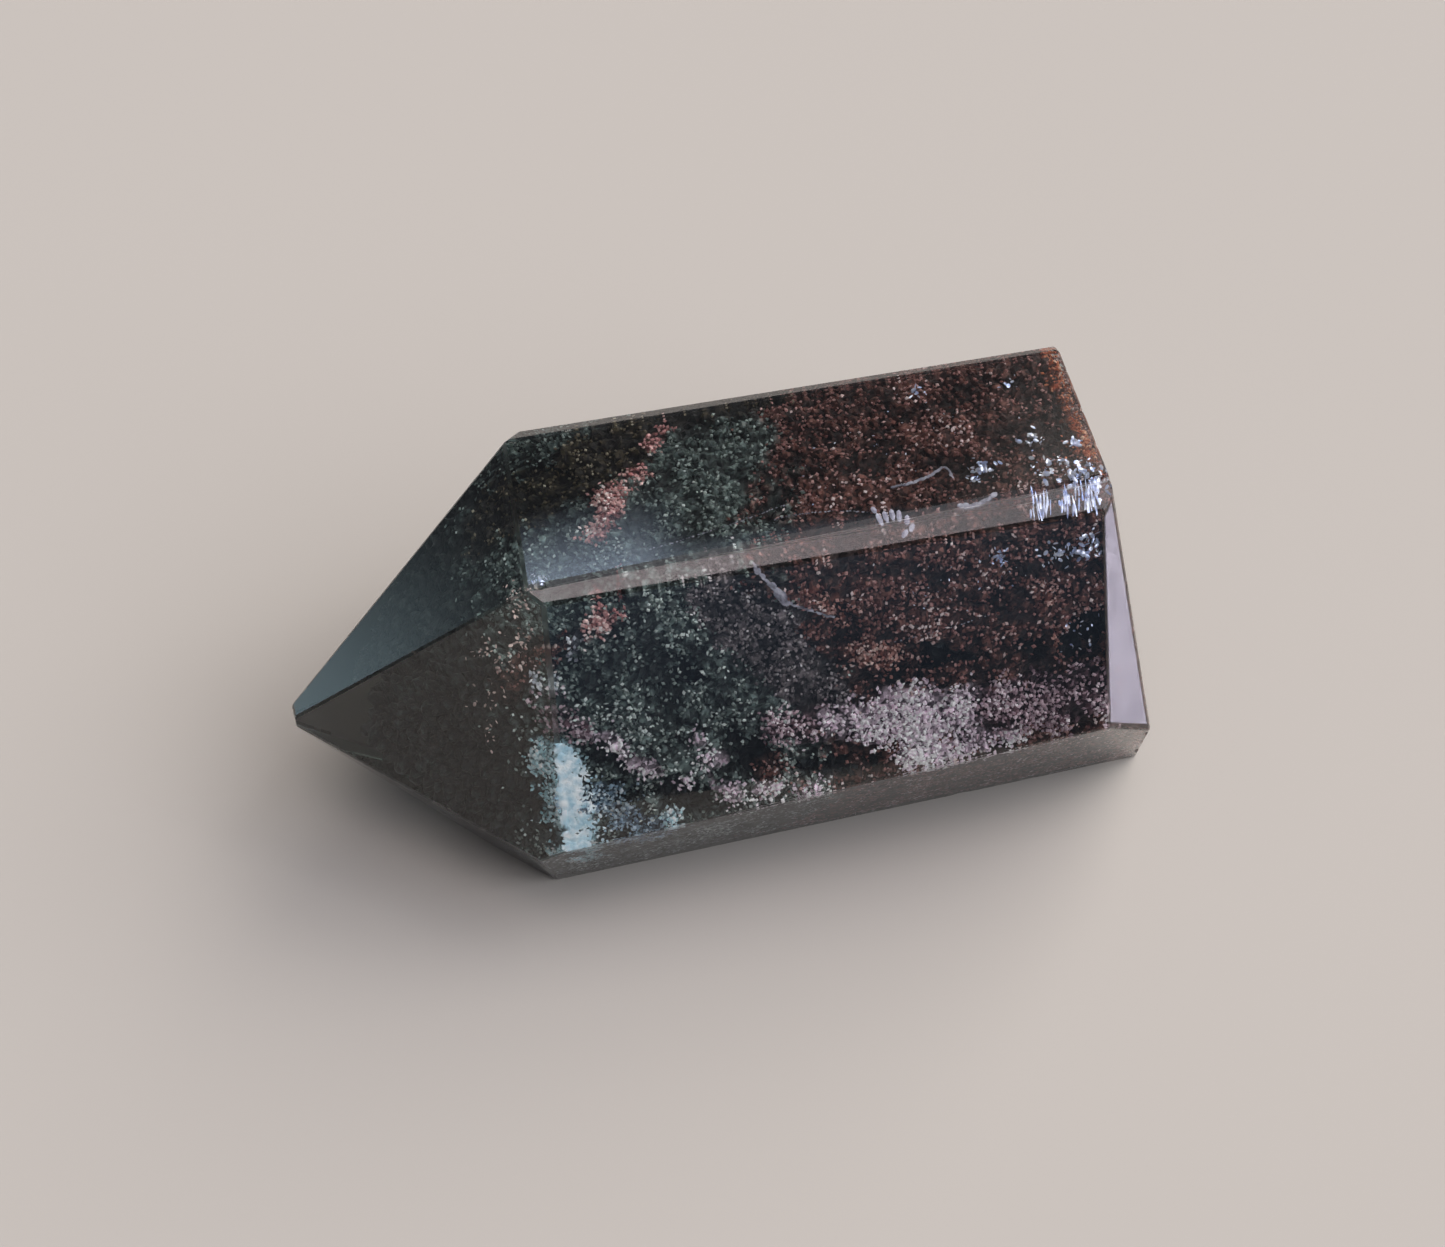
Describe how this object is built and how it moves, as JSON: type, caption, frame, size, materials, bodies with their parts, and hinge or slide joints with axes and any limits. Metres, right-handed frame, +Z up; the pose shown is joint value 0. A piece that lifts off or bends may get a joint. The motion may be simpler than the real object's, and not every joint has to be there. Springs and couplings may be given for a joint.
{
  "type": "lodolite quartz point",
  "caption": "Polished six-sided quartz point full of green and red-brown mineral inclusions, lying on one of its long faces.",
  "frame": {"origin": "under the middle of the crystal's box, on the surface that it lies on", "axes": "+X along the crystal towards its base, with the tip at -X; +Z up; -Y is the side that faces the picture's camera"},
  "size_m": [0.0546, 0.0279, 0.026],
  "materials": {
    "clear_quartz": "hand-polished clear quartz, flat glossy faces",
    "chlorite_green": "dark green granular chlorite grown inside the quartz",
    "iron_red": "red-brown iron-stained grains inside the quartz",
    "pale_feldspar": "pale pink and white mossy grains inside the quartz",
    "healed_crack": "silvery healed cracks and flakes inside the quartz"
  },
  "bodies": {
    "root": {"quartz_lower_half": "clear_quartz", "quartz_upper_half": "clear_quartz", "mineral_garden": "chlorite_green"}
  },
  "joints": []
}
